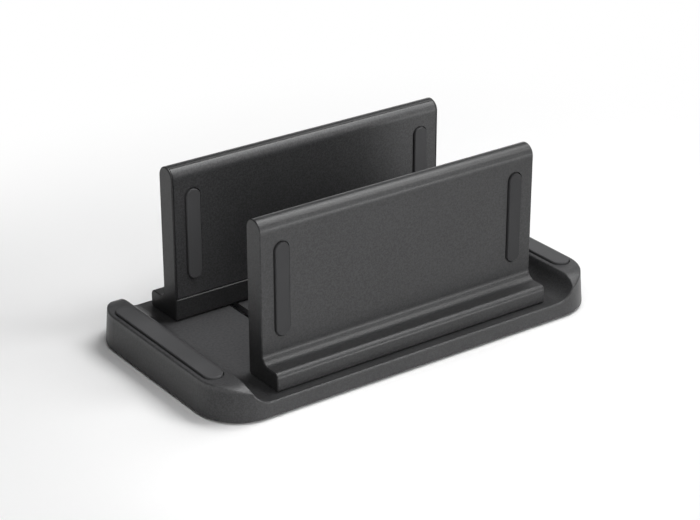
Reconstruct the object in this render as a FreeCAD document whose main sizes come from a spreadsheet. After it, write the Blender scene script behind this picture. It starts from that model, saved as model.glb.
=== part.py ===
import FreeCAD, Part
import math
import os
import re

import Sketcher

# Driving sizes in millimetres, angles in degrees
DIMENSIONS = {
    "panel_length": 151.4,
    "panel_height": 75.8,
    "panel_thick": 10.6,
    "panel_gap": 61.0,
    "toe_reach": 11.8,
    "toe_height": 8.7,
    "toe_round": 2.6,
    "toe_fillet": 4.5,
    "toe_chamfer": 0.8,
    "heel_round": 2.0,
    "end_bevel": 0.4,
    "cover_thick": 2.0,
    "cover_border": 0.8,
    "cover_ledge": 2.4,
    "seam_height": 11.4,
    "seam_angle": 27.0,
    "seam_gap": 0.3,
    "seam_bevel": 0.35,
    "seat_gap": 0.15,
    "shell_wall": 2.4,
    "shell_rib": 1.8,
    "shell_bays": 5,
    "end_bay": 31.3,
    "apron": 5.6,
    "base_corner": 22.3,
    "draft_angle": 4.5,
    "base_bevel": 0.4,
    "foot_stand": 1.0,
    "floor_height": 7.2,
    "floor_thick": 3.0,
    "ridge_height": 16.5,
    "ridge_span": 15.4,
    "ridge_border": 2.55,
    "cove_radius": 11.5,
    "end_radius": 14.0,
    "end_drop": 6.2,
    "rim_round": 0.8,
    "base_wall": 2.6,
    "base_rib": 2.0,
    "base_roof": 2.2,
    "slot_spacing": 88.0,
    "slot_width": 4.6,
    "slot_spare": 2.0,
    "grip_recess": 1.2,
    "grip_proud": 1.0,
    "grip_gap": 0.6,
    "grip_bevel": 0.3,
    "end_grip_inset": 5.6,
    "side_grip_width": 7.2,
    "side_grip_inset": 10.8,
    "side_grip_low": 20.2,
    "side_grip_top": 11.2,
    "screw_radius": 1.9,
    "screw_reach": 6.0,
    "head_radius": 3.8,
    "head_height": 2.2,
    "head_rim": 0.8,
    "socket_width": 2.5,
    "socket_depth": 1.3,
    "washer_radius": 6.0,
    "washer_thick": 1.0,
    "washer_clear": 0.3,
    "lane_clear": 1.5,
    "insert_radius": 2.8,
    "insert_length": 6.4,
    "insert_clear": 0.1,
    "foot_radius": 7.0,
    "foot_recess": 1.4,
    "foot_bevel": 0.6,
    "foot_clear": 0.3,
    "foot_inset": 13.5,
    "cut_margin": 2.0,
}

# Sizes that follow from the driving ones
FORMULAS = {
    "half_panel": "panel_length / 2",
    "half_length": "half_panel + end_bay",
    "half_depth": "panel_gap / 2 + panel_thick + toe_reach + apron",
    "floor_top": "foot_stand + floor_height",
    "floor_under": "floor_top - floor_thick",
    "ridge_top": "foot_stand + ridge_height",
    "ridge_rise": "ridge_height - floor_height",
    "ridge_inner": "half_length - ridge_span",
    "ridge_outer": "half_length - ridge_height * tan(draft_angle * 1 deg)",
    "cove_run": "sqrt(2 * cove_radius * ridge_rise - ridge_rise ^ 2)",
    "cove_start": "ridge_inner - cove_run",
    "end_run": "sqrt(2 * end_radius * end_drop - end_drop ^ 2)",
    "end_start": "half_depth - end_run",
    "end_grip_x": "(ridge_inner + ridge_outer) / 2",
    "end_grip_width": "ridge_outer - ridge_inner - 2 * ridge_border",
    "end_grip_length": "2 * (end_start - end_grip_inset)",
    "grip_thick": "grip_recess + grip_proud",
    "side_grip_x": "half_panel - side_grip_inset",
    "side_grip_length": "panel_height - side_grip_low - side_grip_top",
    "side_grip_mid": "side_grip_low + side_grip_length / 2",
    "slot_x": "slot_spacing / 2",
    "screw_y": "(panel_thick + toe_reach) / 2",
    "screw_line": "panel_gap / 2 + screw_y",
    "slot_end": "screw_line + slot_spare + slot_width / 2",
    "screw_length": "washer_thick + floor_thick + screw_reach",
    "washer_base": "floor_under - washer_thick",
    "lane_half": "washer_radius + lane_clear",
    "bay_end": "half_depth - base_wall",
    "bay_row": "(2 * bay_end - 2 * base_rib) / 3",
    "bay_step": "bay_row + base_rib",
    "mid_bay_end": "slot_x - lane_half - base_rib",
    "side_bay_start": "slot_x + lane_half + base_rib",
    "foot_x": "half_length - foot_inset",
    "foot_y": "half_depth - foot_inset",
    "side_bay_end": "foot_x - foot_radius - base_rib",
    "core_start": "ridge_inner + base_roof",
    "core_end": "half_length - base_wall - ridge_height * tan(draft_angle * 1 deg)",
    "core_half": "foot_y - foot_radius - base_rib",
    "core_depth": "ridge_height - grip_recess - base_roof",
    "top_round": "panel_thick / 2",
    "top_centre": "panel_height - top_round",
    "cover_round": "top_round - cover_thick",
    "cover_half": "half_panel - cover_border - seam_gap",
    "rebate_half": "half_panel - cover_border",
    "rebate_depth": "cover_thick + seat_gap",
    "rebate_round": "top_round - rebate_depth",
    "rebate_low": "seam_height - seam_gap",
    "cavity_low": "seam_height + cover_ledge",
    "cavity_high": "top_centre",
    "cavity_half": "rebate_half - cover_ledge",
    "cavity_depth": "panel_thick - shell_wall - rebate_depth",
    "cavity_bay": "(2 * cavity_half + shell_rib) / shell_bays - shell_rib",
    "cavity_span": "2 * cavity_half - cavity_bay",
    "insert_bore": "screw_radius + insert_clear",
    "insert_hole": "insert_radius + insert_clear",
    "foot_hole": "foot_radius + foot_clear",
    "foot_thick": "foot_stand + foot_recess",
}

WORD = re.compile(r"[a-z_]+")
LEFT = 1
RIGHT = -1
TOUCHING = 1e-6
SMOOTH_ANGLE = 5

doc = FreeCAD.newDocument("upright_stand")


def make_sheet():
    table = doc.addObject("Spreadsheet::Sheet", "Dims")
    for row, (alias, size) in enumerate(DIMENSIONS.items(), start=1):
        table.set(f"A{row}", alias)
        table.set(f"B{row}", str(size))
        table.setAlias(f"B{row}", alias)
    doc.recompute()
    return table


sheet = make_sheet()


def expand(text):
    """Turn a formula in size names into an expression on the sheet."""
    def swap(match):
        word = match.group(0)
        if word in FORMULAS:
            return f"({expand(FORMULAS[word])})"
        return f"Dims.{word}" if word in DIMENSIONS else word
    return WORD.sub(swap, text)


def value(text):
    """The number that a formula gives now."""
    return float(sheet.evalExpression(expand(text)))


def bind(item, prop, text):
    item.setExpression(prop, expand(text))


def new_body(label):
    body = doc.addObject("PartDesign::Body", label)
    body.Label = label
    return body


def new_sketch(body, role, offset="0"):
    """An empty sketch on one of the body's own origin planes, moved along the plane's normal."""
    sketch = body.newObject("Sketcher::SketchObject", f"{body.Name}_sketch")
    plane = next(item for item in body.Origin.OriginFeatures if item.Role == role)
    sketch.AttachmentSupport = [(plane, "")]
    sketch.MapMode = "FlatFace"
    bind(sketch, "AttachmentOffset.Base.z", offset)
    return sketch


def constrain(sketch, text, *parts):
    """Add a constraint whose size follows a formula."""
    number = sketch.addConstraint(Sketcher.Constraint(*parts, value(text)))
    name = f"size_{number}"
    sketch.renameConstraint(number, name)
    bind(sketch, f"Constraints.{name}", text)


def pin_point(sketch, geometry, spot, across, up):
    """Hold a point at its place from the sketch's origin."""
    for text, kind, axis in ((across, "DistanceX", -2), (up, "DistanceY", -1)):
        if text == "0":
            sketch.addConstraint(Sketcher.Constraint("PointOnObject", geometry, spot, axis))
        else:
            constrain(sketch, text, kind, -1, 1, geometry, spot)


def arc_between(start, end, radius, side):
    """The short arc from start to end with its centre on the given side of travel."""
    chord = end.sub(start)
    half = chord.Length / 2
    normal = FreeCAD.Vector(-chord.y, chord.x, 0).normalize()
    rise = math.sqrt(max(radius ** 2 - half ** 2, 0.0))
    centre = start.add(end).multiply(0.5).add(normal.multiply(side * rise))
    first, last = (start, end) if side == LEFT else (end, start)
    angles = [math.atan2(point.y - centre.y, point.x - centre.x) for point in (first, last)]
    circle = Part.Circle(centre, FreeCAD.Vector(0, 0, 1), radius)
    return Part.ArcOfCircle(circle, *angles)


def outline(sketch, *corners):
    """Draw one closed outline. A corner is (across, up), or (across, up, radius, side) where the
    step that leads to it is an arc; the first corner's step comes from the last corner."""
    points = [FreeCAD.Vector(value(corner[0]), value(corner[1]), 0) for corner in corners]
    ends = []
    for index, corner in enumerate(corners):
        start, end = points[index - 1], points[index]
        if len(corner) == 2:
            geometry = sketch.addGeometry(Part.LineSegment(start, end), False)
            ends.append((geometry, 1, 2))
        else:
            radius, side = corner[2:]
            geometry = sketch.addGeometry(arc_between(start, end, value(radius), side), False)
            ends.append((geometry, 1, 2) if side == LEFT else (geometry, 2, 1))
    for index, corner in enumerate(corners):
        geometry, first, last = ends[index]
        before, _, previous_last = ends[index - 1]
        sketch.addConstraint(Sketcher.Constraint("Coincident", before, previous_last, geometry, first))
        pin_point(sketch, geometry, last, corner[0], corner[1])
        if len(corner) == 4:
            constrain(sketch, corner[2], "Radius", geometry)


def box(sketch, left, right, low, high):
    outline(sketch, (left, low), (right, low), (right, high), (left, high))


def obround(sketch, across, up, half_width, half_run):
    """A round-ended slot along the sketch's second axis. half_run reaches its end's centre."""
    left, right = f"{across} - ({half_width})", f"{across} + ({half_width})"
    low, high = f"{up} - ({half_run})", f"{up} + ({half_run})"
    outline(
        sketch,
        (right, low, half_width, LEFT),
        (right, high),
        (across, f"{high} + ({half_width})", half_width, LEFT),
        (left, high, half_width, LEFT),
        (left, low),
        (across, f"{low} - ({half_width})", half_width, LEFT),
    )


def ring(sketch, across, up, radius):
    centre = FreeCAD.Vector(value(across), value(up), 0)
    geometry = sketch.addGeometry(Part.Circle(centre, FreeCAD.Vector(0, 0, 1), value(radius)), False)
    pin_point(sketch, geometry, 3, across, up)
    constrain(sketch, radius, "Radius", geometry)


def pad(body, sketch, length, symmetric=False):
    feature = body.newObject("PartDesign::Pad", f"{body.Name}_pad")
    feature.Profile = sketch
    feature.SideType = "Symmetric" if symmetric else "One side"
    bind(feature, "Length", length)
    doc.recompute()
    return feature


def pocket(body, sketch, depth=None, symmetric=False, along_normal=False):
    """Cut a sketch into the body, through all where no depth is given."""
    before = body.Shape.Volume
    feature = body.newObject("PartDesign::Pocket", f"{body.Name}_pocket")
    feature.Profile = sketch
    feature.SideType = "Symmetric" if symmetric else "One side"
    feature.Reversed = along_normal
    if depth is None:
        feature.Type = "ThroughAll"
    else:
        bind(feature, "Length", depth)
    doc.recompute()
    if body.Shape.Volume >= before:
        raise RuntimeError(f"{feature.Name} cuts nothing")
    return feature


def revolve(body, sketch):
    feature = body.newObject("PartDesign::Revolution", f"{body.Name}_turned")
    feature.Profile = sketch
    feature.ReferenceAxis = (sketch, ["V_Axis"])
    feature.Angle = 360
    doc.recompute()
    return feature


def faces_at(feature, axis, places):
    """Names of the flat faces that lie across an axis (0, 1 or 2) at one of the places."""
    names = []
    for number, face in enumerate(feature.Shape.Faces, start=1):
        low = (face.BoundBox.XMin, face.BoundBox.YMin, face.BoundBox.ZMin)[axis]
        high = (face.BoundBox.XMax, face.BoundBox.YMax, face.BoundBox.ZMax)[axis]
        flat = high - low < TOUCHING
        if flat and any(abs(low - place) < TOUCHING for place in places):
            names.append(f"Face{number}")
    return names


def chamfer(body, feature, faces, size):
    """Bevel every edge of the named faces."""
    bevel = body.newObject("PartDesign::Chamfer", f"{body.Name}_bevel")
    bevel.Base = (feature, faces)
    bind(bevel, "Size", size)
    doc.recompute()


def fillet(body, feature, edges, radius):
    rounding = body.newObject("PartDesign::Fillet", f"{body.Name}_round")
    rounding.Base = (feature, edges)
    bind(rounding, "Radius", radius)
    doc.recompute()


def is_sharp(shape, edge):
    """Whether the two faces that meet at an edge change direction there."""
    middle = edge.valueAt((edge.FirstParameter + edge.LastParameter) / 2)
    normals = []
    for face in shape.ancestorsOfType(edge, Part.Face):
        normals.append(face.normalAt(*face.Surface.parameter(middle)))
    return math.degrees(normals[0].getAngle(normals[-1])) > SMOOTH_ANGLE


def sharp_edges_above(feature, height):
    """Names of the sharp edges that lie no lower than a height."""
    names = []
    for number, edge in enumerate(feature.Shape.Edges, start=1):
        high_enough = edge.BoundBox.ZMin > height - TOUCHING
        if high_enough and is_sharp(feature.Shape, edge):
            names.append(f"Edge{number}")
    return names


def place(body, across, along, up, rotation=FreeCAD.Rotation()):
    body.Placement = FreeCAD.Placement(FreeCAD.Vector(), rotation)
    for axis, text in (("x", across), ("y", along), ("z", up)):
        bind(body, f"Placement.Base.{axis}", text)


# Base: tray floor, coved end ridges, ribbed underside
def base_block(body):
    sketch = new_sketch(body, "XY_Plane", "foot_stand")
    corner = "base_corner"
    outline(
        sketch,
        (f"half_length - {corner}", "-half_depth"),
        ("half_length", f"-half_depth + {corner}", corner, LEFT),
        ("half_length", f"half_depth - {corner}"),
        (f"half_length - {corner}", "half_depth", corner, LEFT),
        (f"-half_length + {corner}", "half_depth"),
        ("-half_length", f"half_depth - {corner}", corner, LEFT),
        ("-half_length", f"-half_depth + {corner}"),
        (f"-half_length + {corner}", "-half_depth", corner, LEFT),
    )
    block = pad(body, sketch, "ridge_height")
    bind(block, "TaperAngle", "-draft_angle")
    doc.recompute()
    chamfer(body, block, faces_at(block, 2, (value("foot_stand"),)), "base_bevel")


def base_tray(body):
    """Floor between the ridges, swept up into a cove at each end."""
    sketch = new_sketch(body, "XZ_Plane")
    over = "ridge_top + cut_margin"
    outline(
        sketch,
        ("-ridge_inner", "ridge_top"),
        ("-cove_start", "floor_top", "cove_radius", LEFT),
        ("cove_start", "floor_top"),
        ("ridge_inner", "ridge_top", "cove_radius", LEFT),
        ("ridge_inner", over),
        ("-ridge_inner", over),
    )
    pocket(body, sketch, symmetric=True)


def base_ridge_ends(body):
    """Round the ridges over towards the front and the back."""
    sketch = new_sketch(body, "YZ_Plane")
    over = "ridge_top + cut_margin"
    low = "ridge_top - end_drop"
    for sign, side in (("", RIGHT), ("-", LEFT)):
        outer = f"{sign}(half_depth + cut_margin)"
        outline(
            sketch,
            (f"{sign}end_start", "ridge_top"),
            (f"{sign}half_depth", low, "end_radius", side),
            (outer, low),
            (outer, over),
            (f"{sign}end_start", over),
        )
    return pocket(body, sketch, symmetric=True)


def base_rim(body, feature):
    """Soften every edge from the floor's rim up to the ridge tops."""
    fillet(body, feature, sharp_edges_above(feature, value("floor_top")), "rim_round")


def base_grip_recesses(body):
    sketch = new_sketch(body, "XY_Plane", "ridge_top")
    half_width = "end_grip_width / 2 + grip_gap"
    half_run = "(end_grip_length - end_grip_width) / 2"
    for sign in ("", "-"):
        obround(sketch, f"{sign}end_grip_x", "0", half_width, half_run)
    pocket(body, sketch, "grip_recess")


def base_underside(body):
    """Bays under the floor, with ribs left between them and clear lanes along the slots."""
    sketch = new_sketch(body, "XY_Plane", "foot_stand")
    for sign in ("", "-"):
        box(sketch, f"{sign}slot_x - lane_half", f"{sign}slot_x + lane_half", "-bay_end", "bay_end")
        for row in (-1, 0, 1):
            low = f"{row} * bay_step - bay_row / 2"
            high = f"{row} * bay_step + bay_row / 2"
            box(sketch, f"{sign}base_rib / 2", f"{sign}mid_bay_end", low, high)
            box(sketch, f"{sign}side_bay_start", f"{sign}side_bay_end", low, high)
    pocket(body, sketch, "floor_height - floor_thick", along_normal=True)
    cores = new_sketch(body, "XY_Plane", "foot_stand")
    for sign in ("", "-"):
        box(cores, f"{sign}core_start", f"{sign}core_end", "-core_half", "core_half")
    pocket(body, cores, "core_depth", along_normal=True)


def base_slots(body):
    sketch = new_sketch(body, "XY_Plane", "foot_stand")
    for sign in ("", "-"):
        obround(sketch, f"{sign}slot_x", "0", "slot_width / 2", "slot_end - slot_width / 2")
    pocket(body, sketch, along_normal=True)


def base_foot_seats(body):
    sketch = new_sketch(body, "XY_Plane", "foot_stand")
    for across in ("foot_x", "-foot_x"):
        for along in ("foot_y", "-foot_y"):
            ring(sketch, across, along, "foot_hole")
    pocket(body, sketch, "foot_recess", along_normal=True)


def make_base():
    body = new_body("base")
    base_block(body)
    base_tray(body)
    base_rim(body, base_ridge_ends(body))
    base_grip_recesses(body)
    base_underside(body)
    base_slots(body)
    base_foot_seats(body)


# Panels: drawn with the inner face at the origin, the toe towards +Y and the foot at Z = 0
def shell_section(body):
    """Upright with a full-round top and a filleted toe."""
    sketch = new_sketch(body, "YZ_Plane")
    toe_tip = "panel_thick + toe_reach"
    outline(
        sketch,
        ("heel_round", "0", "heel_round", LEFT),
        (f"{toe_tip} - toe_chamfer", "0"),
        (toe_tip, "toe_chamfer"),
        (toe_tip, "toe_height - toe_round"),
        (f"{toe_tip} - toe_round", "toe_height", "toe_round", LEFT),
        ("panel_thick + toe_fillet", "toe_height"),
        ("panel_thick", "toe_height + toe_fillet", "toe_fillet", RIGHT),
        ("panel_thick", "top_centre"),
        ("top_round", "panel_height", "top_round", LEFT),
        ("0", "top_centre", "top_round", LEFT),
        ("0", "heel_round"),
    )
    block = pad(body, sketch, "panel_length", symmetric=True)
    half = value("half_panel")
    chamfer(body, block, faces_at(block, 0, (-half, half)), "end_bevel")


def cover_section(sketch, depth, inner_round, low, bevel_low, angle):
    """A plate along the inner face that follows the round top as far as the seam. Its lower edge is
    bevelled from the height bevel_low on the face."""
    sine = f"sin({angle} * 1 deg)"
    cosine = f"cos({angle} * 1 deg)"
    outline(
        sketch,
        ("0", bevel_low),
        ("seam_bevel", low),
        (depth, low),
        (depth, "top_centre"),
        (f"top_round - {inner_round} * {sine}", f"top_centre + {inner_round} * {cosine}", inner_round, RIGHT),
        (f"top_round - top_round * {sine}", f"top_centre + top_round * {cosine}"),
        ("0", "top_centre", "top_round", LEFT),
    )


def shell_rebate(body):
    """Seat for the cover, a seam's width larger than it."""
    sketch = new_sketch(body, "YZ_Plane")
    gap_angle = "(seam_gap / top_round * 180 / pi)"
    bevel_low = "rebate_low - seam_bevel"
    seam = f"(seam_angle - {gap_angle})"
    cover_section(sketch, "rebate_depth", "rebate_round", "rebate_low", bevel_low, seam)
    pocket(body, sketch, "2 * rebate_half", symmetric=True)


def shell_cavity(body):
    """Hollow behind the cover, in bays between upright ribs."""
    sketch = new_sketch(body, "XZ_Plane", "-rebate_depth")
    box(sketch, "-cavity_half", "-cavity_half + cavity_bay", "cavity_low", "cavity_high")
    bay = pocket(body, sketch, "cavity_depth")
    bays = body.newObject("PartDesign::LinearPattern", f"{body.Name}_bays")
    bays.Originals = [bay]
    bays.Direction = (sketch, ["H_Axis"])
    bind(bays, "Length", "cavity_span")
    bind(bays, "Occurrences", "shell_bays")
    body.Tip = bays
    doc.recompute()


def side_grip_recesses(body, offset, along_normal):
    sketch = new_sketch(body, "XZ_Plane", offset)
    half_width = "side_grip_width / 2 + grip_gap"
    half_run = "(side_grip_length - side_grip_width) / 2"
    for sign in ("", "-"):
        obround(sketch, f"{sign}side_grip_x", "side_grip_mid", half_width, half_run)
    pocket(body, sketch, "grip_recess", along_normal=along_normal)


def insert_holes(body):
    sketch = new_sketch(body, "XY_Plane")
    for across in ("slot_x", "-slot_x"):
        ring(sketch, across, "screw_y", "insert_hole")
    pocket(body, sketch, "insert_length + insert_clear", along_normal=True)


def make_shell(label):
    body = new_body(label)
    shell_section(body)
    shell_rebate(body)
    shell_cavity(body)
    side_grip_recesses(body, "-panel_thick", along_normal=True)
    insert_holes(body)
    return body


def make_cover(label):
    body = new_body(label)
    sketch = new_sketch(body, "YZ_Plane")
    bevel_low = "seam_height + seam_bevel"
    cover_section(sketch, "cover_thick", "cover_round", "seam_height", bevel_low, "seam_angle")
    pad(body, sketch, "2 * cover_half", symmetric=True)
    side_grip_recesses(body, "0", along_normal=False)
    return body


# Small pieces
def make_grip(label, width, length):
    """Rubber strip with round ends, its back at Z = 0 and its length along Y."""
    body = new_body(label)
    sketch = new_sketch(body, "XY_Plane")
    obround(sketch, "0", "0", f"{width} / 2", f"({length} - {width}) / 2")
    strip = pad(body, sketch, "grip_thick")
    chamfer(body, strip, faces_at(strip, 2, (value("grip_thick"),)), "grip_bevel")
    return body


def make_foot(label):
    body = new_body(label)
    sketch = new_sketch(body, "XZ_Plane")
    outline(
        sketch,
        ("0", "0"),
        ("foot_radius - foot_bevel", "0"),
        ("foot_radius", "foot_bevel"),
        ("foot_radius", "foot_thick"),
        ("0", "foot_thick"),
    )
    revolve(body, sketch)
    return body


def make_screw(label):
    """Cap screw with a bevelled head, head down, with the head's seat at Z = 0."""
    body = new_body(label)
    sketch = new_sketch(body, "XZ_Plane")
    crown = "head_height - head_rim"
    outline(
        sketch,
        ("0", "-head_height"),
        (f"head_radius - ({crown})", "-head_height"),
        ("head_radius", "-head_rim"),
        ("head_radius", "0"),
        ("screw_radius", "0"),
        ("screw_radius", "screw_length"),
        ("0", "screw_length"),
    )
    revolve(body, sketch)
    socket = new_sketch(body, "XY_Plane", "-head_height")
    reach = "socket_width / sqrt(3)"
    turns = [f"{60 * step} deg" for step in range(6)]
    outline(socket, *[(f"{reach} * cos({turn})", f"{reach} * sin({turn})") for turn in turns])
    pocket(body, socket, "socket_depth", along_normal=True)
    return body


def make_washer(label):
    body = new_body(label)
    sketch = new_sketch(body, "XY_Plane")
    ring(sketch, "0", "0", "washer_radius")
    ring(sketch, "0", "0", "screw_radius + washer_clear")
    pad(body, sketch, "washer_thick")
    return body


def make_insert(label):
    """Threaded bush that the screw grips."""
    body = new_body(label)
    sketch = new_sketch(body, "XY_Plane")
    ring(sketch, "0", "0", "insert_radius")
    ring(sketch, "0", "0", "insert_bore")
    pad(body, sketch, "insert_length")
    return body


# Assembly
STRAIGHT = FreeCAD.Rotation()
TURNED = FreeCAD.Rotation(FreeCAD.Vector(0, 0, 1), 180)
FACING_FRONT = FreeCAD.Rotation(FreeCAD.Vector(1, 0, 0), 90)
FACING_BACK = TURNED.multiply(FACING_FRONT)
SIDES = (("left", "-"), ("right", ""))


def add_panel(name, sign):
    """One panel with its grips, inserts, screws and washers. sign is the side of Y it stands on."""
    turn = STRAIGHT if sign == "" else TURNED
    for body in (make_shell(f"{name}_panel_shell"), make_cover(f"{name}_panel_cover")):
        place(body, "0", f"{sign}panel_gap / 2", "floor_top", turn)
    grip_up = "floor_top + side_grip_mid"
    outer_seat = f"{sign}(panel_gap / 2 + panel_thick - grip_recess)"
    inner_seat = f"{sign}(panel_gap / 2 + grip_recess)"
    outward, inward = (FACING_BACK, FACING_FRONT) if sign == "" else (FACING_FRONT, FACING_BACK)
    for side, across in SIDES:
        for face, seat, facing in (("outer", outer_seat, outward), ("inner", inner_seat, inward)):
            grip = make_grip(f"{name}_{face}_{side}_grip", "side_grip_width", "side_grip_length")
            place(grip, f"{across}side_grip_x", seat, grip_up, facing)
        line = f"{sign}screw_line"
        place(make_insert(f"{name}_{side}_insert"), f"{across}slot_x", line, "floor_top")
        place(make_screw(f"{name}_{side}_screw"), f"{across}slot_x", line, "washer_base")
        place(make_washer(f"{name}_{side}_washer"), f"{across}slot_x", line, "washer_base")


def add_base():
    make_base()
    for side, across in SIDES:
        grip = make_grip(f"{side}_end_grip", "end_grip_width", "end_grip_length")
        place(grip, f"{across}end_grip_x", "0", "ridge_top - grip_recess")
        for name, along in (("front", "-"), ("back", "")):
            place(make_foot(f"{name}_{side}_foot"), f"{across}foot_x", f"{along}foot_y", "0")


def check_document():
    for item in doc.Objects:
        if "Invalid" in item.State or "Error" in item.State:
            raise RuntimeError(f"{item.Name} failed: {item.State}")


def write_parts():
    os.makedirs("parts", exist_ok=True)
    bodies = [item for item in doc.Objects if item.TypeId == "PartDesign::Body"]
    for body in bodies:
        if body.Shape.isNull() or not body.Shape.isValid() or len(body.Shape.Solids) != 1:
            raise RuntimeError(f"{body.Label} is not one sound solid")
    for body in bodies:
        body.Shape.exportStep(f"parts/{body.Label}.step")
    print(f"{len(bodies)} parts written")


add_base()
add_panel("front", "-")
add_panel("back", "")
doc.recompute()
check_document()
write_parts()
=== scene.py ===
import math

import bpy
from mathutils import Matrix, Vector


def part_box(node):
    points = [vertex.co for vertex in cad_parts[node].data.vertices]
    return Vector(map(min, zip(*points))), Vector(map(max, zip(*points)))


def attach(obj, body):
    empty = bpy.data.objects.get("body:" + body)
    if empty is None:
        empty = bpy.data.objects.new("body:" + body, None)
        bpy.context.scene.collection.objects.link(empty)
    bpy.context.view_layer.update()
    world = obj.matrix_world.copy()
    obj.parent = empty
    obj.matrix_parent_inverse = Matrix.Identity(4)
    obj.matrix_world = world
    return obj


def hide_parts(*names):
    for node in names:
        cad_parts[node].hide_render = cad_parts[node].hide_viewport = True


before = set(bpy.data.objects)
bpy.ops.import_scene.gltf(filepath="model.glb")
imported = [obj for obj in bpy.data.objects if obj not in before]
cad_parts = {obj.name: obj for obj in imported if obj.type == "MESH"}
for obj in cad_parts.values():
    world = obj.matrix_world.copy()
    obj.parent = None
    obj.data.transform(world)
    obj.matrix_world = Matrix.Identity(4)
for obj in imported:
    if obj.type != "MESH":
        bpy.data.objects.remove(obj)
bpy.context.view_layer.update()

scene = bpy.context.scene
scene.view_settings.view_transform = "Standard"
print("frame loaded,", len(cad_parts), "nodes")


class Wire:  # an output socket that takes Python arithmetic
    def __init__(self, graph, socket):
        self.graph = graph
        self.socket = socket

    def __add__(self, other):
        return self.graph.maths("ADD", self, other)

    def __sub__(self, other):
        return self.graph.maths("SUBTRACT", self, other)

    def __rsub__(self, other):
        return self.graph.maths("SUBTRACT", other, self)

    def __mul__(self, other):
        return self.graph.maths("MULTIPLY", self, other)

    def __truediv__(self, other):
        return self.graph.maths("DIVIDE", self, other)

    def __rtruediv__(self, other):
        return self.graph.maths("DIVIDE", other, self)

    __radd__ = __add__
    __rmul__ = __mul__


class Graph:  # a node tree, with one way of adding any node to it
    def __init__(self, tree):
        self.tree = tree
        tree.nodes.clear()

    def add(self, kind, settings=None, sockets=None, output=0):
        node = self.tree.nodes.new(kind)
        for name, setting in (settings or {}).items():
            setattr(node, name, setting)
        for name, item in (sockets or {}).items():
            self.feed(node.inputs[name], item)
        return Wire(self, node.outputs[output]) if node.outputs else node

    def feed(self, socket, item):
        if isinstance(item, list):  # several wires into one socket
            for wire in item:
                self.feed(socket, wire)
        elif isinstance(item, Wire):
            self.tree.links.new(item.socket, socket)
        else:
            socket.default_value = item

    def maths(self, operation, first, second):
        return self.add("ShaderNodeMath", {"operation": operation}, {0: first, 1: second})


class Finish(Graph):  # one material and the nodes that make it
    def __init__(self, name):
        self.material = bpy.data.materials.new(name)
        self.material.use_nodes = True
        super().__init__(self.material.node_tree)

    def place(self, scale=(1, 1, 1)):  # object coordinates in metres, stretched by scale
        point = self.add("ShaderNodeTexCoord", output="Object")
        return self.add("ShaderNodeMapping", {}, {"Vector": point, "Scale": scale})

    def noise(self, point, perMetre, detail=2.0, rough=0.5):
        sockets = {"Vector": point, "Scale": perMetre, "Detail": detail, "Roughness": rough}
        return self.add("ShaderNodeTexNoise", {}, sockets)

    def blend(self, share, first, second):  # colours mixed by a 0 to 1 value
        sockets = {"Factor": share, 6: first, 7: second}
        return self.add("ShaderNodeMix", {"data_type": "RGBA"}, sockets, output=2)

    def fade(self, item, none, full):  # 0 where item is at none, 1 where it is at full
        low, high = sorted((none, full))
        return self.add("ShaderNodeMapRange", {"interpolation_type": "SMOOTHSTEP"}, {
            "Value": item,
            "From Min": low,
            "From Max": high,
            "To Min": float(none > full),
            "To Max": float(full > none),
        })

    def aside(self, point, axis):  # distance from the middle along X or Y
        along = self.add("ShaderNodeSeparateXYZ", {}, {0: point}, axis)
        return self.maths("ABSOLUTE", along, 0)

    def bump(self, height, depth=1.0):  # depth in metres where the height is 1
        return self.add("ShaderNodeBump", {}, {"Height": height, "Distance": depth})

    def surface(self, sockets):
        shader = self.add("ShaderNodeBsdfPrincipled", {}, sockets)
        self.add("ShaderNodeOutputMaterial", {}, {"Surface": shader})
        return self.material


coolTint = 1.03  # blue against red and green in every grey
noiseMean = 0.5


def grey(level):
    return (level, level, level * coolTint, 1.0)


mouldedPlastic = {
    "dark": 0.031,  # colour in the texture's pits
    "light": 0.057,  # colour on its grains
    "mottle": 850,  # soft patches per metre
    "mottleShare": 1.3,  # how far they move the colour
    "grain": 1500,  # fine grains per metre
    "grainShare": 3.1,
    "grainHarsh": 0.6,  # how strong the finest grains are
    "drift": 30,  # slow change of tone, per metre
    "driftShare": 0.4,
    "roughness": 0.38,
    "grainRough": 0.10,  # how far the grain moves the roughness
    "driftRough": 0.06,
    "gloss": 0.36,
    "mottleDepth": 0.000014,  # in metres
    "grainDepth": 0.00001,
}


trayPaintedLight = {  # painted light: the tray's floor between the panels and the tops of the ridges are painted a shade lighter, standing in for light that reaches them
    "light": 0.106,
    "least": 0.2,  # painted light between the patches
    "patches": 1.6,  # painted light that the mottle adds
    "strength": 0.55,
    "halfLength": 0.090,  # of the floor painted lighter, in metres from its middle
    "halfWidth": 0.036,
    "fade": 0.010,
    "top": 0.0090,  # height that takes in the tray's floor
    "ridgeStrength": 0.38,
    "ridgeFrom": 0.0140,  # height where the painted light on the ridge tops starts
    "ridgeTo": 0.0170,
}


# painted light: lifts the colour towards a light grey on the tray's floor and the ridge tops
def paintTrayLight(f, colour, mottle):
    p = trayPaintedLight
    point = f.add("ShaderNodeTexCoord", output="Object")
    height = f.add("ShaderNodeSeparateXYZ", {}, {0: point}, "Z")
    patchy = p["least"] + mottle * p["patches"]
    share = patchy * p["strength"] * f.maths("LESS_THAN", height, p["top"])
    for axis, reach in (("X", p["halfLength"]), ("Y", p["halfWidth"])):
        share = share * f.fade(f.aside(point, axis), reach, reach - p["fade"])
    ridge = patchy * p["ridgeStrength"] * f.fade(height, p["ridgeFrom"], p["ridgeTo"])
    return f.blend(share + ridge, colour, grey(p["light"]))


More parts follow.
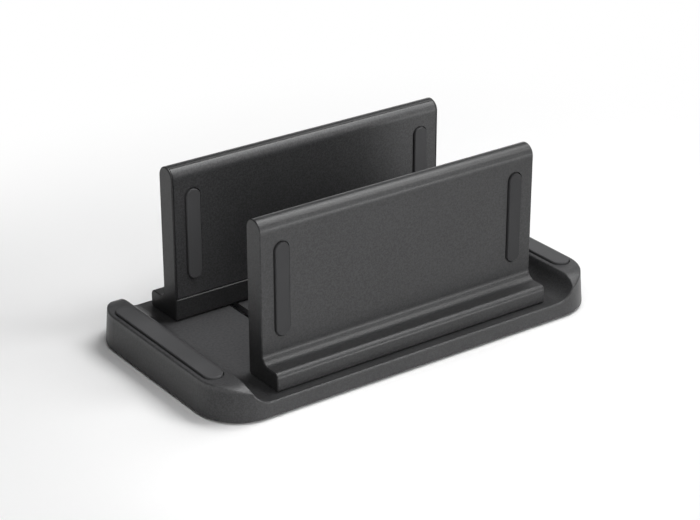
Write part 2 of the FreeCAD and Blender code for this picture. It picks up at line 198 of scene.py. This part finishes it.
def makePlastic(name, tone, withTrayLight=False):
    p = mouldedPlastic
    f = Finish(name)
    point = f.place()
    mottle = f.noise(point, p["mottle"])
    grain = f.noise(point, p["grain"], rough=p["grainHarsh"])
    drift = f.noise(point, p["drift"])
    grainLift, driftLift = grain - noiseMean, drift - noiseMean
    share = noiseMean + (mottle - noiseMean) * p["mottleShare"]
    share = share + grainLift * p["grainShare"] + driftLift * p["driftShare"]
    colour = f.blend(share, grey(p["dark"] * tone), grey(p["light"] * tone))
    return f.surface({
        "Base Color": paintTrayLight(f, colour, mottle) if withTrayLight else colour,
        "Roughness": p["roughness"] + grainLift * p["grainRough"] + driftLift * p["driftRough"],
        "Specular IOR Level": p["gloss"],
        "Normal": f.bump(mottle * p["mottleDepth"] + grain * p["grainDepth"]),
    })


softRubber = {
    "dark": 0.058,
    "light": 0.072,
    "grain": 3800,  # fine grains per metre
    "grainShare": 0.5,
    "drift": 60,  # slow change of tone, per metre
    "driftShare": 0.5,
    "roughness": 0.45,
    "driftRough": 0.1,
    "gloss": 0.06,
    "depth": 0.000006,  # of the grain, in metres
}


def makeRubber(name, tone):
    p = softRubber
    f = Finish(name)
    point = f.place()
    grain = f.noise(point, p["grain"])
    drift = f.noise(point, p["drift"])
    share = grain * p["grainShare"] + drift * p["driftShare"]
    return f.surface({
        "Base Color": f.blend(share, grey(p["dark"] * tone), grey(p["light"] * tone)),
        "Roughness": p["roughness"] + (drift - noiseMean) * p["driftRough"],
        "Specular IOR Level": p["gloss"],
        "Normal": f.bump(grain, p["depth"]),
    })


clampMetal = {
    "steelDark": (0.30, 0.30, 0.31, 1.0),
    "steelLight": (0.48, 0.48, 0.49, 1.0),
    "brassDark": (0.42, 0.27, 0.09, 1.0),
    "brassLight": (0.62, 0.43, 0.17, 1.0),
    "roughness": 0.32,
    "marks": 900,  # tool marks per metre
    "marksScale": (1, 1, 6),  # closer together along the screw
    "marksDetail": 4.0,
    "marksHarsh": 0.65,
    "marksShare": 0.6,
    "marksRough": 0.25,
    "cloud": 160,  # dull patches per metre
    "cloudShare": 0.4,
    "depth": 0.000004,  # of the marks, in metres
}


def makeMetal(name, kind):  # kind is steel or brass
    p = clampMetal
    f = Finish(name)
    marks = f.noise(f.place(p["marksScale"]), p["marks"], p["marksDetail"], p["marksHarsh"])
    cloud = f.noise(f.place(), p["cloud"])
    share = marks * p["marksShare"] + cloud * p["cloudShare"]
    return f.surface({
        "Base Color": f.blend(share, p[f"{kind}Dark"], p[f"{kind}Light"]),
        "Metallic": 1.0,
        "Roughness": p["roughness"] + (marks - noiseMean) * p["marksRough"],
        "Normal": f.bump(marks, p["depth"]),
    })


pieceTonesWithPaintedLight = {  # how light each kind of piece is against its plain plastic or rubber; the cover and the grips are lit and shaded copies, painted light and shade for where they sit
    "base": 0.74,
    "shell": 0.64,
    # painted light: the cover, shaded between the panels, is made lighter than the shell
    "cover": 1.15,
    # painted light and shade: one rubber, made lighter on the ridge tops and the shaded inner
    # face, darker on the lit outer face
    "endGrip": 1.32,
    "innerGrip": 1.2,
    "outerGrip": 0.66,
    "foot": 0.6,
}


def dress(materials):  # every CAD node gets the finish of its kind
    for name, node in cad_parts.items():
        kind = next(word for word in materials if word in name)
        node.data.materials.clear()
        node.data.materials.append(materials[kind])
        for face in node.data.polygons:
            face.material_index = 0


screwSteel = makeMetal("screw_steel", "steel")
dress({  # by a word in the node's name
    "base": makePlastic("base_plastic", pieceTonesWithPaintedLight["base"], withTrayLight=True),
    "shell": makePlastic("panel_plastic", pieceTonesWithPaintedLight["shell"]),
    "cover": makePlastic("cover_plastic", pieceTonesWithPaintedLight["cover"]),
    "end_grip": makeRubber("end_grip_rubber", pieceTonesWithPaintedLight["endGrip"]),
    "inner": makeRubber("inner_grip_rubber", pieceTonesWithPaintedLight["innerGrip"]),
    "outer": makeRubber("outer_grip_rubber", pieceTonesWithPaintedLight["outerGrip"]),
    "foot": makeRubber("foot_rubber", pieceTonesWithPaintedLight["foot"]),
    "screw": screwSteel,
    "washer": makeMetal("washer_steel", "steel"),
    "insert": makeMetal("insert_brass", "brass"),
})
print("materials set")


clampScrew = {  # sizes in metres, by the tree's input names
    "Head Radius": 0.0038,
    "Head Height": 0.0022,
    "Head Rim": 0.0008,  # straight wall above the bevelled crown
    "Socket Width": 0.0025,  # across flats
    "Socket Depth": 0.0013,
    "Shank Radius": 0.0019,  # over the thread
    "Thread Pitch": 0.0007,
}
screwSides = 48
coreSunk = 0.6  # the core's depth below the thread's crests, in pitches
ridgeRadius = 0.5  # the thread's ridge, in pitches
stepsPerTurn = 24
sharpAngle = 30  # degrees, past which an edge stays crisp


def raised(g, mesh, height):  # the mesh moved up by a wire or a number
    lift = g.add("ShaderNodeCombineXYZ", {}, {"Z": height})
    return g.add("GeometryNodeTransform", {}, {"Geometry": mesh, "Translation": lift})


def turned(g, radius, depth, sides=screwSides):  # a cylinder on Z, its middle at the origin
    sockets = {"Vertices": sides, "Radius": radius, "Depth": depth}
    return g.add("GeometryNodeMeshCylinder", {}, sockets)


def screwBody(g, size):  # head, crown and core in one, with the hex socket cut in
    crown = size["Head Height"] - size["Head Rim"]
    cone = g.add("GeometryNodeMeshCone", {}, {
        "Vertices": screwSides,
        "Radius Bottom": size["Head Radius"] - crown,
        "Radius Top": size["Head Radius"],
        "Depth": crown,
    })
    rim = turned(g, size["Head Radius"], size["Head Rim"])
    coreRadius = size["Shank Radius"] - size["Thread Pitch"] * coreSunk
    core = turned(g, coreRadius, size["Shank Length"] + size["Head Rim"])
    solid = g.add("GeometryNodeMeshBoolean", {"operation": "UNION"}, {"Mesh 2": [
        raised(g, cone, size["Head Height"] * -1),
        raised(g, rim, size["Head Rim"] * -0.5),
        raised(g, core, (size["Shank Length"] - size["Head Rim"]) * 0.5),
    ]})
    key = turned(g, size["Socket Width"] / math.sqrt(3), size["Socket Depth"] * 2, sides=6)
    cut = {"Mesh 1": solid, "Mesh 2": [raised(g, key, size["Head Height"] * -1)]}
    return g.add("GeometryNodeMeshBoolean", {"operation": "DIFFERENCE"}, cut)


def screwThread(g, size):  # a three-sided ridge wound round the core
    ridge = size["Thread Pitch"] * ridgeRadius
    winding = size["Shank Radius"] - ridge
    run = size["Shank Length"] - size["Thread Pitch"] * 2
    spiral = g.add("GeometryNodeCurveSpiral", {}, {
        "Resolution": stepsPerTurn,
        "Rotations": run / size["Thread Pitch"],
        "Start Radius": winding,
        "End Radius": winding,
        "Height": run,
    })
    upright = g.add("GeometryNodeSetCurveNormal", {"mode": "Z_UP"}, {"Curve": spiral})
    edge = g.add("GeometryNodeCurvePrimitiveCircle", {}, {"Resolution": 3, "Radius": ridge})
    outward = g.add("GeometryNodeTransform", {}, {"Geometry": edge, "Rotation": (0, 0, math.pi)})
    wound = {"Curve": upright, "Profile Curve": outward, "Fill Caps": True}
    return raised(g, g.add("GeometryNodeCurveToMesh", {}, wound), size["Thread Pitch"])


def screwTree():  # two screws, set at the two seats
    tree = bpy.data.node_groups.new("clamp_screws", "GeometryNodeTree")
    tree.interface.new_socket("Screws", in_out="OUTPUT", socket_type="NodeSocketGeometry")
    for name in [*clampScrew, "Shank Length"]:
        tree.interface.new_socket(name, in_out="INPUT", socket_type="NodeSocketFloat")
    for name in ("Left Seat", "Right Seat"):
        tree.interface.new_socket(name, in_out="INPUT", socket_type="NodeSocketVector")
    g = Graph(tree)
    inputs = [item.name for item in tree.interface.items_tree if item.in_out == "INPUT"]
    size = {name: g.add("NodeGroupInput", output=name) for name in inputs}
    bodyAndThread = [screwBody(g, size), screwThread(g, size)]
    screw = g.add("GeometryNodeJoinGeometry", {}, {"Geometry": bodyAndThread})
    seats = g.add("GeometryNodeMeshLine", {"mode": "END_POINTS"}, {
        "Count": 2,
        "Start Location": size["Left Seat"],
        "Offset": size["Right Seat"],
    })
    pair = g.add("GeometryNodeInstanceOnPoints", {}, {"Points": seats, "Instance": screw})
    real = g.add("GeometryNodeRealizeInstances", {}, {"Geometry": pair})
    steel = g.add("GeometryNodeSetMaterial", {}, {"Geometry": real, "Material": screwSteel})
    g.add("NodeGroupOutput", {}, {"Screws": steel})
    return tree


def keepMesh(name, tree, inputs):  # runs a tree once and keeps its result as a plain mesh
    piece = bpy.data.objects.new(name, bpy.data.meshes.new(name))
    scene.collection.objects.link(piece)
    modifier = piece.modifiers.new("tree", "NODES")
    modifier.node_group = tree
    for item in tree.interface.items_tree:
        if item.in_out == "INPUT":
            modifier[item.identifier] = inputs[item.name]
    made = piece.evaluated_get(bpy.context.evaluated_depsgraph_get())
    mesh = bpy.data.meshes.new_from_object(made)
    piece.modifiers.clear()
    piece.data = mesh
    mesh.shade_smooth()
    mesh.set_sharp_from_angle(angle=math.radians(sharpAngle))
    return piece


def seatOf(node):  # where the screw's head meets its washer, and the height of its tip
    low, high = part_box(node)
    x, y = (low.x + high.x) / 2, (low.y + high.y) / 2
    return Vector((x, y, low.z + clampScrew["Head Height"])), high.z


screws = screwTree()
for side in ("front", "back"):
    left, right = f"{side}_left_screw", f"{side}_right_screw"
    leftSeat = seatOf(left)[0]
    rightSeat, tip = seatOf(right)
    pairSizes = {
        **clampScrew,
        "Shank Length": tip - leftSeat.z,
        "Left Seat": leftSeat,
        "Right Seat": rightSeat,
    }
    pair = keepMesh(f"{side}_clamp_screws", screws, pairSizes)
    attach(pair, f"{side}_panel")
    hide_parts(left, right)
    print(pair.name, "made,", len(pair.data.polygons), "faces")


stageSizes = {
    "floorSize": 6.0,
    "floorLight": (0.93, 0.93, 0.93, 1.0),
    "floorDark": (0.9207, 0.9207, 0.9207, 1.0),  # its fibres
    "fibre": 400,  # per metre
    "fibreDetail": 3.0,
    "floorRoughness": 0.9,
    "floorGloss": 0.1,
    "whiteFrom": 0.02,  # metres outside the base where the floor starts to turn plain white
    "whiteTo": 0.25,
    "skyGrey": 0.02,
    "horizonWhite": 0.06,
    "horizonTop": 0.05,  # sine of the angle where the pale horizon starts to fade
    "skyStart": 0.2,  # sine of the angle where it has faded
}


def makeFloor():
    p = stageSizes
    half = p["floorSize"] / 2
    mesh = bpy.data.meshes.new("floor")
    corners = [(-half, -half, 0), (half, -half, 0), (half, half, 0), (-half, half, 0)]
    mesh.from_pydata(corners, [], [(0, 1, 2, 3)])
    floor = bpy.data.objects.new("floor", mesh)
    scene.collection.objects.link(floor)
    f = Finish("floor_paper")
    point = f.place()
    fibre = f.noise(point, p["fibre"], p["fibreDetail"])
    matt = f.add("ShaderNodeBsdfPrincipled", {}, {
        "Base Color": f.blend(fibre, p["floorLight"], p["floorDark"]),
        "Roughness": p["floorRoughness"],
        "Specular IOR Level": p["floorGloss"],
    })
    # plain white away from the object, so that its shadow stays
    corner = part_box("base")[1]
    overX = f.maths("MAXIMUM", f.aside(point, "X") - corner.x, 0)
    overY = f.maths("MAXIMUM", f.aside(point, "Y") - corner.y, 0)
    distance = f.maths("SQRT", overX * overX + overY * overY, 0)
    share = f.fade(distance, p["whiteFrom"], p["whiteTo"])
    rays = ("Is Camera Ray", "Is Glossy Ray", "Is Transmission Ray")
    seen = sum(f.add("ShaderNodeLightPath", output=ray) for ray in rays)
    white = f.add("ShaderNodeEmission", {}, {"Color": (1, 1, 1, 1), "Strength": 1.0})
    mixed = f.add("ShaderNodeMixShader", {}, {0: seen * share, 1: matt, 2: white})
    f.add("ShaderNodeOutputMaterial", {}, {"Surface": mixed})
    mesh.materials.append(f.material)


def makeWorld():  # pale along the horizon, dim overhead
    p = stageSizes
    world = bpy.data.worlds.new("studio")
    world.use_nodes = True
    scene.world = world
    g = Graph(world.node_tree)
    direction = g.add("ShaderNodeTexCoord", output="Generated")
    height = g.add("ShaderNodeSeparateXYZ", {}, {0: direction}, output="Z")
    light = g.add("ShaderNodeMapRange", {"interpolation_type": "SMOOTHSTEP"}, {
        "Value": height,
        "From Min": p["horizonTop"],
        "From Max": p["skyStart"],
        "To Min": p["horizonWhite"],
        "To Max": p["skyGrey"],
    })
    sky = g.add("ShaderNodeBackground", {}, {"Color": (1, 1, 1, 1), "Strength": light})
    g.add("ShaderNodeOutputWorld", {}, {"Surface": sky})


# around is the compass angle from +X and up the height angle, in degrees
# away is the distance and size the width and height, in metres
softboxes = {
    "rightHigh": {"around": 0, "up": 62, "away": 1.3, "size": (0.5, 0.5), "watts": 4.5},
    "rightNear": {"around": 15, "up": 62, "away": 0.6, "size": (0.34, 0.34), "watts": 1.3},
    "frontRightHigh": {"around": -38, "up": 50, "away": 1.3, "size": (0.34, 0.6), "watts": 5.6},
    "overhead": {"around": 20, "up": 78, "away": 0.6, "size": (0.2, 0.2), "watts": 0.4},
    "leftHigh": {"around": -165, "up": 66, "away": 0.5, "size": (0.2, 0.15), "watts": 0.44},
    "frontLeft": {"around": -122, "up": 13, "away": 0.4, "size": (0.18, 0.2), "watts": 0.24},
    "nearLeft": {"around": -128, "up": 12, "away": 0.19, "size": (0.06, 0.06), "watts": 0.045},
    "lowFill": {"around": -54, "up": 24, "away": 1.3, "size": (0.4, 0.3), "watts": 1.8},
    "lowStrip": {"around": -62, "up": 1.5, "away": 1.3, "size": (0.44, 0.14), "watts": 4.2},
    "rightStrip": {"around": -20, "up": 3, "away": 1.3, "size": (0.9, 0.14), "watts": 0.6},
    "backRight": {"around": 50, "up": 8, "away": 1.3, "size": (0.7, 0.3), "watts": 1.2},
}
aimPoint = Vector((0, 0, 0.05))  # where they all point


def makeSoftbox(name, box):
    light = bpy.data.lights.new(name, "AREA")
    light.shape = "RECTANGLE"
    light.size, light.size_y = box["size"]
    light.energy = box["watts"]
    lamp = bpy.data.objects.new(name, light)
    around, up = math.radians(box["around"]), math.radians(box["up"])
    out = Vector((math.cos(around) * math.cos(up), math.sin(around) * math.cos(up), math.sin(up)))
    lamp.location = aimPoint + out * box["away"]
    lamp.rotation_euler = (-out).to_track_quat("-Z", "Y").to_euler()
    lamp.visible_camera = False
    scene.collection.objects.link(lamp)


makeFloor()
makeWorld()
for boxName, boxSizes in softboxes.items():
    makeSoftbox(boxName, boxSizes)
print("stage and lights set")


photoCamera = {
    "target": (0.000676, -0.00047, 0.03095),
    "azimuth": -35.854,  # degrees, 0 looks along +Y
    "elevation": 25.037,
    "distance": 0.9676,
    "focalPixels": 2075.98,
    "framePixels": 700,
    "sensor": 36.0,  # millimetres
    "clipStart": 0.01,
    "clipEnd": 50,
}


def makeCamera():
    p = photoCamera
    lens = bpy.data.cameras.new("photo_camera")
    lens.sensor_fit = "HORIZONTAL"
    lens.sensor_width = p["sensor"]
    lens.lens = p["focalPixels"] / p["framePixels"] * p["sensor"]
    lens.clip_start = p["clipStart"]
    lens.clip_end = p["clipEnd"]
    az, el = math.radians(p["azimuth"]), math.radians(p["elevation"])
    out = Vector((math.sin(az) * math.cos(el), -math.cos(az) * math.cos(el), math.sin(el)))
    camera = bpy.data.objects.new("photo_camera", lens)
    camera.location = Vector(p["target"]) + out * p["distance"]
    camera.rotation_euler = (-out).to_track_quat("-Z", "Y").to_euler()
    scene.collection.objects.link(camera)
    scene.camera = camera


makeCamera()
print("camera set")
